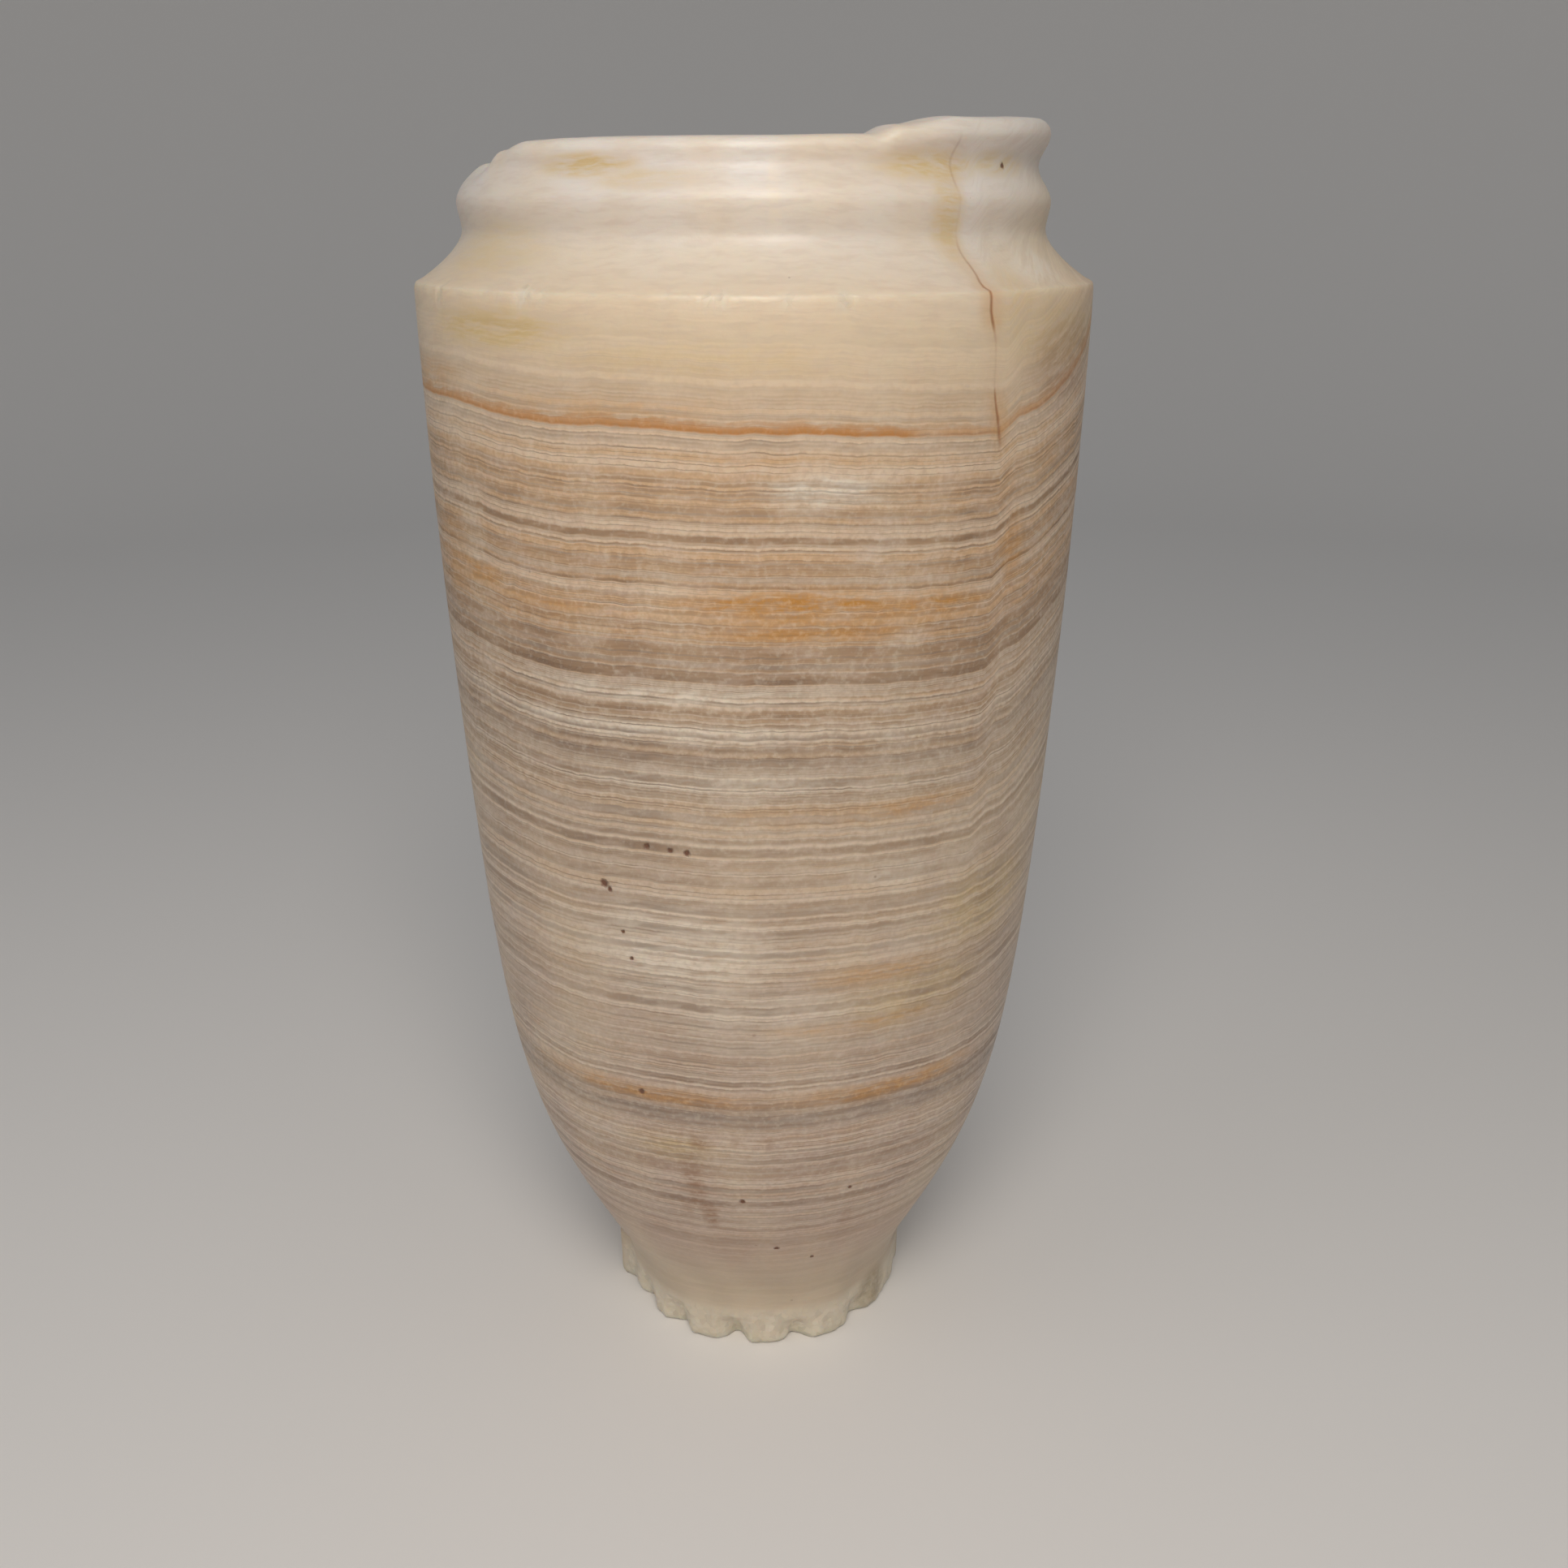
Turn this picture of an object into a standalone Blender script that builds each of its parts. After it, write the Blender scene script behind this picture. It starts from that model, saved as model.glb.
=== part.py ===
"""A banded alabaster jar, one piece of turned stone: a wide mouth with a worn and partly broken lip,
a ridged neck, a bevelled shoulder, a long body and a low foot with a chipped edge.

Metres, +Z up. The origin is the centre of the underside, and -Y is the side that faces the viewer.
"""

import math

import bpy

MM = 0.001

# Heights, stacked from the underside upwards
FOOT_HEIGHT = 7.6 * MM
BODY_HEIGHT = 125.5 * MM
SHOULDER_RISE = 5.6 * MM
RIDGE_RISE = 2.9 * MM
GROOVE_RISE = 3.7 * MM
LIP_RISE = 3.2 * MM
LIP_ROUND = 1.5 * MM

# The turned outside, measured across: two radii, and how far each form steps in or out from the last
WAIST_RADIUS = 18.8 * MM
FOOT_PROUD = 0.7 * MM
FOOT_EDGE = 0.8 * MM
SHOULDER_RADIUS = 38.2 * MM
SHOULDER_EDGE = 0.6 * MM
SHOULDER_WIDTH = 5.6 * MM
RIDGE_PROUD = 0.45 * MM
GROOVE_DEPTH = 1.1 * MM
LIP_FLARE = 1.2 * MM

# The drilled inside
NECK_WALL = 6.4 * MM
MOUTH_EDGE = 0.8 * MM
WALL = 6.4 * MM
FLOOR_THICKNESS = 19.0 * MM
BOWL_HEIGHT = 20.0 * MM
UNDERCUT_HEIGHT = 14.0 * MM

# The body's curve: how much of its swelling is the slow upper slope, and how sharp each part is
SLOPE_SHARE = 0.43
SLOPE_POWER = 1.52
SWELL_LENGTH = 0.148
SWELL_POWER = 1.43
BEVEL_POWER = 1.6

# How finely the solid is cut; the body's rings crowd towards the foot, where it curves most
TURN_STEPS = 96
BODY_STEPS = 14
BODY_CROWDING = 1.5
NECK_STEPS = 3
LIP_STEPS = 4
WALL_STEPS = 5
BOWL_STEPS = 4
WELD = 0.01 * MM
CREASE_ANGLE = 35

# Places going round are in degrees from the viewer's side, positive to the right.

# How much of the lip's height is broken or worn away
LIP_LOSS = (
    (-180, 0.6 * MM),
    (-146, 0.7 * MM),
    (-132, 4.2 * MM),
    (-104, 4.9 * MM),
    (-80, 4.4 * MM),
    (-67, 4.8 * MM),
    (-57, 3.4 * MM),
    (-46, 2.7 * MM),
    (-33, 2.5 * MM),
    (0, 2.4 * MM),
    (19, 2.1 * MM),
    (27, 1.4 * MM),
    (41, 0.6 * MM),
    (78, 0.0 * MM),
    (112, 0.0 * MM),
    (136, 0.5 * MM),
    (180, 0.6 * MM),
)
WORN_ROUND = 2.6 * MM
WORN_DEPTH = 5.0 * MM

# How far the foot's rim is broken back at the underside; the break meets the body at BREAK_HEIGHT
FOOT_LOSS = (
    (-180, 0.0 * MM),
    (-86, 0.1 * MM),
    (-76, 1.8 * MM),
    (-50, 1.7 * MM),
    (-38, 1.4 * MM),
    (8, 1.6 * MM),
    (20, 1.1 * MM),
    (33, 1.0 * MM),
    (44, 1.5 * MM),
    (66, 1.1 * MM),
    (88, 0.8 * MM),
    (97, 0.0 * MM),
    (180, 0.0 * MM),
)
BREAK_HEIGHT = 13.0 * MM
BREAK_POWER = 3.0

# Flakes off the foot: place and half width in degrees, depth at the underside, height up the wall
FOOT_FLAKES = (
    (-60, 8, 1.1 * MM, 5.5 * MM),
    (-37, 8, 1.2 * MM, 5.0 * MM),
    (-10.5, 7, 1.9 * MM, 4.5 * MM),
    (16, 7, 1.6 * MM, 4.2 * MM),
    (47, 7, 0.9 * MM, 4.2 * MM),
    (122, 12, 1.5 * MM, 5.0 * MM),
    (146, 8, 1.1 * MM, 3.6 * MM),
    (-168, 14, 1.8 * MM, 5.4 * MM),
    (-132, 10, 1.2 * MM, 4.2 * MM),
    (-108, 9, 0.9 * MM, 3.4 * MM),
)

# Heights and radii that follow from the values above
SHOULDER_Z = FOOT_HEIGHT + BODY_HEIGHT
NECK_Z = SHOULDER_Z + SHOULDER_RISE
RIDGE_Z = NECK_Z + RIDGE_RISE
GROOVE_Z = RIDGE_Z + GROOVE_RISE
LIP_Z = GROOVE_Z + LIP_RISE
TOP_Z = LIP_Z + LIP_ROUND
FOOT_RADIUS = WAIST_RADIUS + FOOT_PROUD
NECK_RADIUS = SHOULDER_RADIUS - SHOULDER_WIDTH
RIDGE_RADIUS = NECK_RADIUS + RIDGE_PROUD
GROOVE_RADIUS = NECK_RADIUS - GROOVE_DEPTH
LIP_RADIUS = GROOVE_RADIUS + LIP_FLARE
MOUTH_RADIUS = NECK_RADIUS - NECK_WALL
BOWL_Z = FLOOR_THICKNESS + BOWL_HEIGHT
UNDERCUT_Z = SHOULDER_Z - UNDERCUT_HEIGHT

ALABASTER_COLOUR = (0.62, 0.47, 0.34, 1.0)
ALABASTER_ROUGHNESS = 0.42


def smooth(share):
    """An S-shaped ease from 0 to 1."""
    share = min(1.0, max(0.0, share))
    return share * share * (3 - 2 * share)


def mix(low, high, share):
    return low + (high - low) * share


def body_radius(z):
    """The outside between the foot and the shoulder: it swells fast, then rises almost straight."""
    share = min(1.0, max(0.0, (z - FOOT_HEIGHT) / BODY_HEIGHT))
    slope = SLOPE_SHARE * (1 - share) ** SLOPE_POWER
    swell = (1 - SLOPE_SHARE) * math.exp(-((share / SWELL_LENGTH) ** SWELL_POWER))
    return mix(WAIST_RADIUS, SHOULDER_RADIUS, 1 - slope - swell)


def neck_radius(z):
    """The outside above the shoulder: bevel, neck hollow, ridge, groove and flaring lip."""
    if z < NECK_Z:
        share = (z - SHOULDER_Z) / SHOULDER_RISE
        return mix(NECK_RADIUS, SHOULDER_RADIUS, (1 - share) ** BEVEL_POWER)
    if z < RIDGE_Z:
        return mix(NECK_RADIUS, RIDGE_RADIUS, smooth((z - NECK_Z) / RIDGE_RISE))
    if z < GROOVE_Z:
        return mix(RIDGE_RADIUS, GROOVE_RADIUS, smooth((z - RIDGE_Z) / GROOVE_RISE))
    return mix(GROOVE_RADIUS, LIP_RADIUS, smooth((z - GROOVE_Z) / LIP_RISE))


def edge_inset(z, top, radius):
    """How far a rounded edge under a given top has fallen back at height z."""
    share = min(1.0, max(0.0, 1 - (top - z) / radius))
    return radius * (1 - math.sqrt(1 - share * share))


def inside_radius(z):
    """The drilled hollow: a bowl, then a wall of even thickness, then the undercut to the mouth."""
    radius = body_radius(z) - WALL
    if z < BOWL_Z:
        share = (BOWL_Z - z) / BOWL_HEIGHT
        radius *= math.sqrt(max(0.0, 1 - share * share))
    return mix(radius, MOUTH_RADIUS, smooth((z - UNDERCUT_Z) / UNDERCUT_HEIGHT))


def steps(low, high, count):
    """Evenly spaced heights from just above low up to high."""
    return [mix(low, high, (i + 1) / count) for i in range(count)]


def inside_line():
    """The inside, from the centre of the floor up to the mouth's rounded edge."""
    line = [(0.0, FLOOR_THICKNESS)]
    for i in range(BOWL_STEPS):
        turn = (i + 1) / BOWL_STEPS * math.pi / 2
        z = FLOOR_THICKNESS + BOWL_HEIGHT * (1 - math.cos(turn))
        line.append((inside_radius(z), z))
    heights = steps(BOWL_Z, UNDERCUT_Z, WALL_STEPS) + steps(UNDERCUT_Z, SHOULDER_Z, NECK_STEPS)
    line += [(inside_radius(z), z) for z in heights]
    line.append((MOUTH_RADIUS, TOP_Z - MOUTH_EDGE))
    line.append((MOUTH_RADIUS + MOUTH_EDGE, TOP_Z))
    return line


def outside_line():
    """The outside, from the lip's top down to the centre of the underside."""
    lip = [TOP_Z - LIP_ROUND * (1 - math.cos(i / LIP_STEPS * math.pi / 2)) for i in range(LIP_STEPS)]
    upper = [TOP_Z, *lip[1:], LIP_Z]
    upper += steps(GROOVE_Z, LIP_Z, NECK_STEPS)[-2::-1] + [GROOVE_Z]
    upper += steps(RIDGE_Z, GROOVE_Z, NECK_STEPS)[-2::-1] + [RIDGE_Z]
    upper += steps(NECK_Z, RIDGE_Z, NECK_STEPS)[-2::-1] + [NECK_Z]
    upper += steps(SHOULDER_Z, NECK_Z, NECK_STEPS)[-2::-1]
    line = [(neck_radius(z) - edge_inset(z, TOP_Z, LIP_ROUND), z) for z in upper]
    line.append((SHOULDER_RADIUS - SHOULDER_EDGE / 2, SHOULDER_Z + SHOULDER_EDGE / 2))
    for i in range(BODY_STEPS):
        z = mix(FOOT_HEIGHT, SHOULDER_Z - SHOULDER_EDGE, (1 - i / BODY_STEPS) ** BODY_CROWDING)
        line.append((body_radius(z), z))
    line.append((WAIST_RADIUS, FOOT_HEIGHT))
    line.append((FOOT_RADIUS, FOOT_HEIGHT - FOOT_EDGE))
    line.append((FOOT_RADIUS, FOOT_HEIGHT / 2))
    line.append((FOOT_RADIUS, FOOT_EDGE))
    line.append((FOOT_RADIUS - FOOT_EDGE / 2, 0.0))
    line.append((0.0, 0.0))
    return line


def turned(name, line):
    """Spins a half outline round +Z into a closed solid."""
    mesh = bpy.data.meshes.new(name)
    mesh.from_pydata([(r, 0.0, z) for r, z in line], [(i, i + 1) for i in range(len(line) - 1)], [])
    obj = bpy.data.objects.new(name, mesh)
    bpy.context.scene.collection.objects.link(obj)
    screw = obj.modifiers.new("turn", "SCREW")
    screw.steps = screw.render_steps = TURN_STEPS
    screw.use_merge_vertices = True
    screw.merge_threshold = WELD
    return obj


def applied(obj):
    """The same object with its modifiers made into its own mesh."""
    graph = bpy.context.evaluated_depsgraph_get()
    mesh = bpy.data.meshes.new_from_object(obj.evaluated_get(graph))
    obj.modifiers.clear()
    obj.data = mesh
    return obj


def along(table, azimuth):
    """Reads a table of places and depths, easing from each place to the next."""
    for (left, depth), (right, next_depth) in zip(table, table[1:]):
        if azimuth <= right:
            return mix(depth, next_depth, smooth((azimuth - left) / (right - left)))
    return table[-1][1]


def broken_radius(azimuth, z):
    """The break that has taken the foot's rim off here, running down from the body to the underside."""
    bottom = FOOT_RADIUS - along(FOOT_LOSS, azimuth)
    return mix(bottom, body_radius(BREAK_HEIGHT), (z / BREAK_HEIGHT) ** BREAK_POWER)


def flake_depth(azimuth, z):
    """How deep the flakes off the foot go here."""
    flaked = 0.0
    for centre, half_width, deepest, height in FOOT_FLAKES:
        across = abs((azimuth - centre + 180) % 360 - 180) / half_width
        up = min(1.0, z / height)
        flaked = max(flaked, deepest * smooth(1 - across) * (1 - up * up))
    return flaked


def wear(obj):
    """Lowers the lip where it is broken or worn, and takes the flakes off the foot."""
    inner_edge = MOUTH_RADIUS + MOUTH_EDGE
    for vertex in obj.data.vertices:
        x, y, z = vertex.co
        radius = math.hypot(x, y)
        if radius < WELD:
            continue
        azimuth = math.degrees(math.atan2(x, -y))
        new_radius = radius
        if z > RIDGE_Z + WELD and radius > inner_edge + WELD:
            loss = along(LIP_LOSS, azimuth)
            top = TOP_Z - loss
            rounding = mix(LIP_ROUND, WORN_ROUND, min(1.0, loss / WORN_DEPTH))
            z = mix(RIDGE_Z, top, (z - RIDGE_Z) / (TOP_Z - RIDGE_Z))
            new_radius = neck_radius(z) - edge_inset(z, top, rounding)
        elif z > SHOULDER_Z + WELD and radius < inner_edge + WELD:
            z = mix(SHOULDER_Z, TOP_Z - along(LIP_LOSS, azimuth), (z - SHOULDER_Z) / (TOP_Z - SHOULDER_Z))
        elif z < BREAK_HEIGHT and radius > WAIST_RADIUS - FOOT_EDGE:
            new_radius = min(radius, broken_radius(azimuth, z)) - flake_depth(azimuth, z)
        vertex.co = (x / radius * new_radius, y / radius * new_radius, z)
    obj.data.update()


def alabaster():
    """Polished banded calcite: warm cream, softly glossy."""
    material = bpy.data.materials.new("alabaster")
    material.use_nodes = True
    shader = material.node_tree.nodes["Principled BSDF"]
    shader.inputs["Base Color"].default_value = ALABASTER_COLOUR
    shader.inputs["Roughness"].default_value = ALABASTER_ROUGHNESS
    shader.inputs["Metallic"].default_value = 0.0
    return material


def build():
    for obj in list(bpy.data.objects):
        bpy.data.objects.remove(obj)
    collection = bpy.data.collections.new("alabaster_jar")
    bpy.context.scene.collection.children.link(collection)
    jar = applied(turned("jar", inside_line() + outside_line()))
    wear(jar)
    bpy.context.scene.collection.objects.unlink(jar)
    collection.objects.link(jar)
    jar.data.materials.append(alabaster())
    jar.data.shade_smooth()
    jar.data.set_sharp_from_angle(angle=math.radians(CREASE_ANGLE))


build()
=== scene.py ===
"""The looks of the alabaster jar: one fine turned mesh with its breaks, and a banded calcite stone.

Everything here is in millimetres and degrees until it becomes a mesh. Places going round the jar are
degrees from the viewer's side, positive to the right.
"""

import math

import bpy
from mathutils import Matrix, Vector, noise


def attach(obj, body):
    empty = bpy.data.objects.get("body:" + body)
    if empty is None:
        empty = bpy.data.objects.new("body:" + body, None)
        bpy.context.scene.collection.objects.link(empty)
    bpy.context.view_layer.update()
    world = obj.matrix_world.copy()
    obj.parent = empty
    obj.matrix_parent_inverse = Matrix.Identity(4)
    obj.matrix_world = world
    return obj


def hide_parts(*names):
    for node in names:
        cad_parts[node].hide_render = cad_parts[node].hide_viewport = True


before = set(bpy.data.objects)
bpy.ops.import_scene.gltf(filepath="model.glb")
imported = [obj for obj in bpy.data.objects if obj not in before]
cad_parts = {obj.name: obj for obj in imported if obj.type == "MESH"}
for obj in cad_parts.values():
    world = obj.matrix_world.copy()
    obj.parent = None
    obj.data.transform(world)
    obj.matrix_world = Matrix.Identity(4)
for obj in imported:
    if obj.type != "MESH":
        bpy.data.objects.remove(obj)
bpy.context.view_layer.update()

MM = 0.001

# The turned outline, with the same heights and radii as the solid
FOOT_HEIGHT = 7.6
BODY_HEIGHT = 125.5
SHOULDER_RISE = 5.6
RIDGE_RISE = 2.9
GROOVE_RISE = 3.7
LIP_RISE = 3.2
LIP_ROUND = 1.5
WAIST_RADIUS = 18.8
FOOT_RADIUS = 19.5
FOOT_EDGE = 0.8
SHOULDER_RADIUS = 38.2
SHOULDER_EDGE = 0.6
NECK_RADIUS = 32.6
RIDGE_RADIUS = 33.05
GROOVE_RADIUS = 31.5
LIP_RADIUS = 32.7
MOUTH_RADIUS = 26.2
MOUTH_EDGE = 0.8
WALL = 6.4
FLOOR_THICKNESS = 19.0
BOWL_HEIGHT = 20.0
UNDERCUT_HEIGHT = 14.0
SLOPE_SHARE = 0.43
SLOPE_POWER = 1.52
SWELL_LENGTH = 0.148
SWELL_POWER = 1.43
BEVEL_POWER = 1.6

SHOULDER_Z = FOOT_HEIGHT + BODY_HEIGHT
NECK_Z = SHOULDER_Z + SHOULDER_RISE
RIDGE_Z = NECK_Z + RIDGE_RISE
GROOVE_Z = RIDGE_Z + GROOVE_RISE
LIP_Z = GROOVE_Z + LIP_RISE
TOP_Z = LIP_Z + LIP_ROUND
BOWL_Z = FLOOR_THICKNESS + BOWL_HEIGHT
UNDERCUT_Z = SHOULDER_Z - UNDERCUT_HEIGHT

# How much of the lip's height is gone, and how rough the break is there, going round
LIP_LOSS = (
    (-180, 0.6), (-146, 0.7), (-132, 4.2), (-104, 4.9), (-80, 4.4), (-67, 4.8), (-57, 3.4), (-46, 2.7),
    (-33, 2.6), (0, 2.6), (22.5, 2.4), (28, 1.5), (41, 0.6), (78, 0.0), (112, 0.0), (136, 0.5), (180, 0.6),
)
LIP_ROUGHNESS = (
    (-180, 0.1), (-147, 0.15), (-134, 1.0), (-90, 1.0), (-72, 0.3), (-60, 0.12), (-46, 0.08),
    (-20, 0.05), (180, 0.08),
)
# The lip's edge is rubbed rounder the more of its height is gone
WORN_ROUND = 2.6
WORN_DEPTH = 5.0
# Where the lip's top edge is rubbed to a bevel with a crease under it: how wide, and how steep
LIP_BEVEL = ((-180, 0.0), (18, 0.0), (27, 1.5), (40, 1.5), (70, 0.9), (84, 0.0), (180, 0.0))
BEVEL_SLOPE = 0.55
LIP_HUMP = 0.12
LIP_BREAK_REACH = 1.4

# How far the foot's rim is broken back going round, fading out by BREAK_HEIGHT
FOOT_LOSS = (
    (-180, 0.0), (-86, 0.1), (-76, 1.8), (-50, 1.7), (-38, 1.4), (8, 1.6), (20, 1.1), (33, 1.0),
    (44, 1.5), (66, 1.1), (88, 0.8), (97, 0.0), (180, 0.0),
)
BREAK_HEIGHT = 13.0
BREAK_POWER = 3.0
# Flakes struck off the rim: place, half width in degrees, depth, height
FOOT_FLAKES = (
    (-60, 9.5, 1.4, 5.5), (-37, 9, 1.6, 5.0), (-10.5, 8.5, 2.3, 4.5), (16, 8.5, 2.0, 4.2),
    (47, 9.5, 1.2, 4.2), (122, 12, 1.5, 5.0), (146, 8, 1.1, 3.6), (-168, 14, 1.8, 5.4),
    (-132, 10, 1.2, 4.2), (-108, 9, 0.9, 3.4),
)
FLAKE_WANDER = 1.6
# The broken rim curls under at the bottom
CURL_DEPTH = 0.7
CURL_HEIGHT = 2.0
# Below this height the set-back foot is rough and painted pale, partly as a fresh break and partly as a
# painted pool of light under the shadow the body casts on the foot; above it the broken foot is worn smooth
# again
FRESH_AND_LIT_TOP = 6.6
FRESH_AND_LIT_FADE = 2.5

# Where the shoulder's edge is nicked most
SHOULDER_NICKS = (
    (-180, 0.3), (-75, 0.3), (-62, 1.0), (-36, 1.0), (-28, 0.25), (-14, 0.3), (-9, 0.9), (24, 0.8),
    (34, 0.2), (90, 0.25), (130, 0.7), (160, 0.3), (180, 0.3),
)
NICK_REACH = 1.3
NICK_DEPTH = 0.75
# How deep a nick, a flake and a set-back rim are where they look fully broken
FULL_NICK = 0.25
FULL_FLAKE = 0.9
FULL_BREAK = 0.8

# Roughness of broken stone as noises: lift of the noise, size of its lumps, depth
FOOT_GRAIN = ((0, 1.1, 0.16), (0, 3.0, 0.2))
LIP_EDGE_GRAIN = ((0, 2.4, 0.35), (9, 0.9, 0.15))
LIP_FACE_GRAIN = ((0, 1.3, 0.4), (20, 3.5, 0.4))
LIP_SIDE_GRAIN = ((0, 1.2, 0.22),)
# Unevenness of hand work on the body and in the drilled hollow
HOLLOW_GRAIN = ((0, 12.0, 0.12),)
BODY_WAVES = ((0, 20.0, 0.07),)
BODY_RIPPLES = ((0, 6.0, 0.03),)
DRILL_RING_DEPTH = 0.1
DRILL_RING_TURN = 1.7
UNDERSIDE_DISH = 0.1

# How far the stone's layers rise or sink going round; they bend at FOLD and rise to its right
LAYER_RISE = (
    (-180, 3.5), (-120, 2.6), (-66, 1.65), (-37, 0.8), (-28, 0.3), (-7, 0.0), (10, 0.0), (30, -0.65),
    (42, -1.0), (46, 0.4), (51, 0.7), (64, 3.2), (85, 6.5), (110, 8.0), (150, 6.0), (180, 3.5),
)
FOLD = 42
FOLD_SINK = 1.0
# How much of that rise shows from the foot up; below it the layers sink towards the sides instead
RISE_SHARE = ((40, 0.0), (60, 0.3), (64, 0.3), (87, 1.0))
LOWER_RISE = -4.8
LAYER_WANDER = 0.6
# Right of the fold and above the seam the layers fan out
FAN_SHARE = 0.8
FAN_HEIGHT = 12
FAN_END = 150
FAN_FADE = 60

# The crack from the fold up to the lip: height and place going round, then height and strength
CRACK = (
    (104.0, 42.2), (116.5, 42.2), (120.7, 41.3), (124.8, 39.6), (128.7, 39.0), (131.4, 38.0),
    (133.9, 37.9), (138.4, 38.5), (142.9, 38.2), (147.0, 39.5), (149.0, 38.8),
)
CRACK_DEPTH = (
    (104.0, 0.0), (117.3, 0.0), (119.2, 0.7), (121.0, 0.9), (123.3, 0.75), (124.5, 0.12), (129.0, 0.15),
    (130.3, 0.9), (133.0, 0.8), (135.0, 0.5), (137.0, 0.3), (138.5, 0.08), (142.5, 0.08), (143.5, 0.25),
    (147.0, 0.22), (148.0, 0.02),
)

# Its marks end this many degrees away from it, and it is weaker in the hollow
CRACK_SIDE = 40
CRACK_SIDE_FADE = 20
CRACK_INSIDE = 0.6

# Strength of the orange seam at SEAM_Z going round
SEAM_Z = 121.0
SEAM_RUN = (
    (-180, 0.35), (-120, 0.5), (-80, 0.85), (-37, 0.85), (9, 1.0), (23, 1.0), (27, 0.4), (33, 0.6),
    (41, 0.55), (50, 0.65), (70, 0.7), (110, 0.35), (150, 0.15), (180, 0.35),
)

# Stains and clouds, among them some painted glow and painted shade: place going round, height, half width
# in degrees, half height, strength
# Iron stains; the patches at -62 and -66 degrees, by the left side, are also a painted warm glow of light
# coming through the stone
IRON_AND_GLOW = (
    (6, 103.9, 24, 1.7, 1.2), (30, 102.9, 16, 1.6, 0.9), (-34, 102.7, 14, 1.3, 0.6),
    (-52, 104.4, 10, 1.5, 0.9), (10, 101.0, 24, 1.6, 0.75), (47, 107.5, 4, 5.0, 0.6),
    (28, 80.7, 20, 1.6, 0.5), (5, 81.0, 16, 1.2, 0.25), (24, 61.0, 18, 1.8, 0.5),
    (20, 54.6, 26, 1.2, 0.5), (-22, 44.9, 40, 1.3, 0.65), (30, 45.0, 36, 1.3, 0.7),
    (-62, 105.5, 12, 6.0, 0.4), (8, 118.0, 26, 1.6, 0.22), (-24, 122.9, 30, 1.6, 0.3),
    (-66, 124.6, 20, 2.0, 0.4), (96, 112.0, 40, 2.0, 0.6), (150, 92.0, 46, 2.2, 0.7),
    (-140, 104.0, 40, 2.4, 0.7), (-110, 62.0, 36, 1.6, 0.45), (170, 47.0, 60, 1.4, 0.6),
    (120, 66.0, 30, 1.6, 0.4),
)
YELLOW = (
    (-30, 144.9, 14, 1.6, 0.9), (-18, 143.6, 14, 1.4, 0.5), (34, 144.9, 16, 2.0, 0.8),
    (52, 145.2, 14, 1.8, 0.6), (36, 140.5, 5, 6.5, 0.7), (-42, 129.8, 22, 2.6, 0.8),
    (-52, 137.0, 22, 4.0, 0.4), (-8, 127.5, 30, 2.4, 0.3), (60, 129.0, 24, 5.0, 0.45),
    (44, 132.0, 6, 5.0, 0.4), (120, 131.0, 40, 3.0, 0.5), (-150, 136.0, 40, 3.0, 0.5),
    (-10.5, 1.4, 4, 2.4, 1.0), (16, 1.4, 4, 2.4, 1.0), (-37, 1.6, 4, 2.6, 0.8),
    (-18, 37.5, 14, 3.0, 0.5), (50, 66.0, 20, 7.0, 0.5), (34, 57.0, 24, 5.0, 0.4),
)
PALE = (
    (56, 135.4, 10, 2.4, 0.9), (4, 141.6, 26, 2.2, 0.5), (4.2, 142.0, 2.0, 4.2, 1.0),
    (-10, 136.0, 30, 1.6, 0.35), (11, 115.2, 13, 2.6, 1.0), (-14, 94.3, 42, 1.5, 0.9),
    (-20, 90.2, 42, 1.6, 0.8), (-14, 64.0, 24, 9.0, 0.8), (2, 56.0, 26, 6.0, 0.5),
    (-4, 84.6, 34, 1.8, 0.7), (26, 73.0, 10, 3.0, 0.5), (140, 118.0, 26, 3.0, 0.5),
    (-160, 80.0, 30, 6.0, 0.4),
)
# Olive-brown patches low on the foot: soil, and painted shade where the broken foot lies in the body's
# shadow
SOIL_AND_SHADE = (
    (56, 3.6, 12, 4.6, 0.5), (-96, 8.0, 16, 2.2, 0.5),
    (132, 3.0, 16, 4.0, 0.6), (-166, 3.0, 14, 4.0, 0.6),
)
RUST = (
    (-15, 34.0, 3.5, 3.0, 0.5), (-14, 30.5, 3.5, 3.6, 0.7), (-11.5, 26.5, 3, 3.6, 0.7),
    (-17.5, 27.5, 2.5, 2.4, 0.4), (-12, 38.6, 3, 1.4, 0.5), (-4, 39.4, 2, 1.0, 0.4),
    (3, 38.8, 2, 1.0, 0.35), (-22, 34.3, 10, 1.2, 0.4), (24, 25.0, 2.5, 3.0, 0.35),
    (61, 126.0, 18, 6.0, 0.42), (140, 52.0, 5, 3.0, 0.4), (-120, 36.0, 4, 3.0, 0.5),
)
# Soil lies over the whole underside, and thicker towards the bottom of the hollow
UNDERSIDE_SOIL = 0.45
HOLLOW_SOIL = ((20, 0.7), (60, 0.25))

# Pits: place going round, height, radius
PITS = (
    (-27.3, 71.7, 0.62), (-26.2, 71.1, 0.4), (-18.4, 77.0, 0.42), (-14.2, 76.8, 0.38), (-11.1, 76.6, 0.45),
    (-24.2, 66.1, 0.3), (-22.9, 62.9, 0.3), (-23.6, 45.0, 0.5), (-3.2, 29.5, 0.45), (5.7, 19.9, 0.42),
    (17.1, 17.0, 0.32), (22.7, 30.2, 0.36), (53.8, 145.0, 0.42), (108.0, 84.0, 0.5), (-150.0, 58.0, 0.5),
    (164.0, 106.0, 0.45),
)

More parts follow.
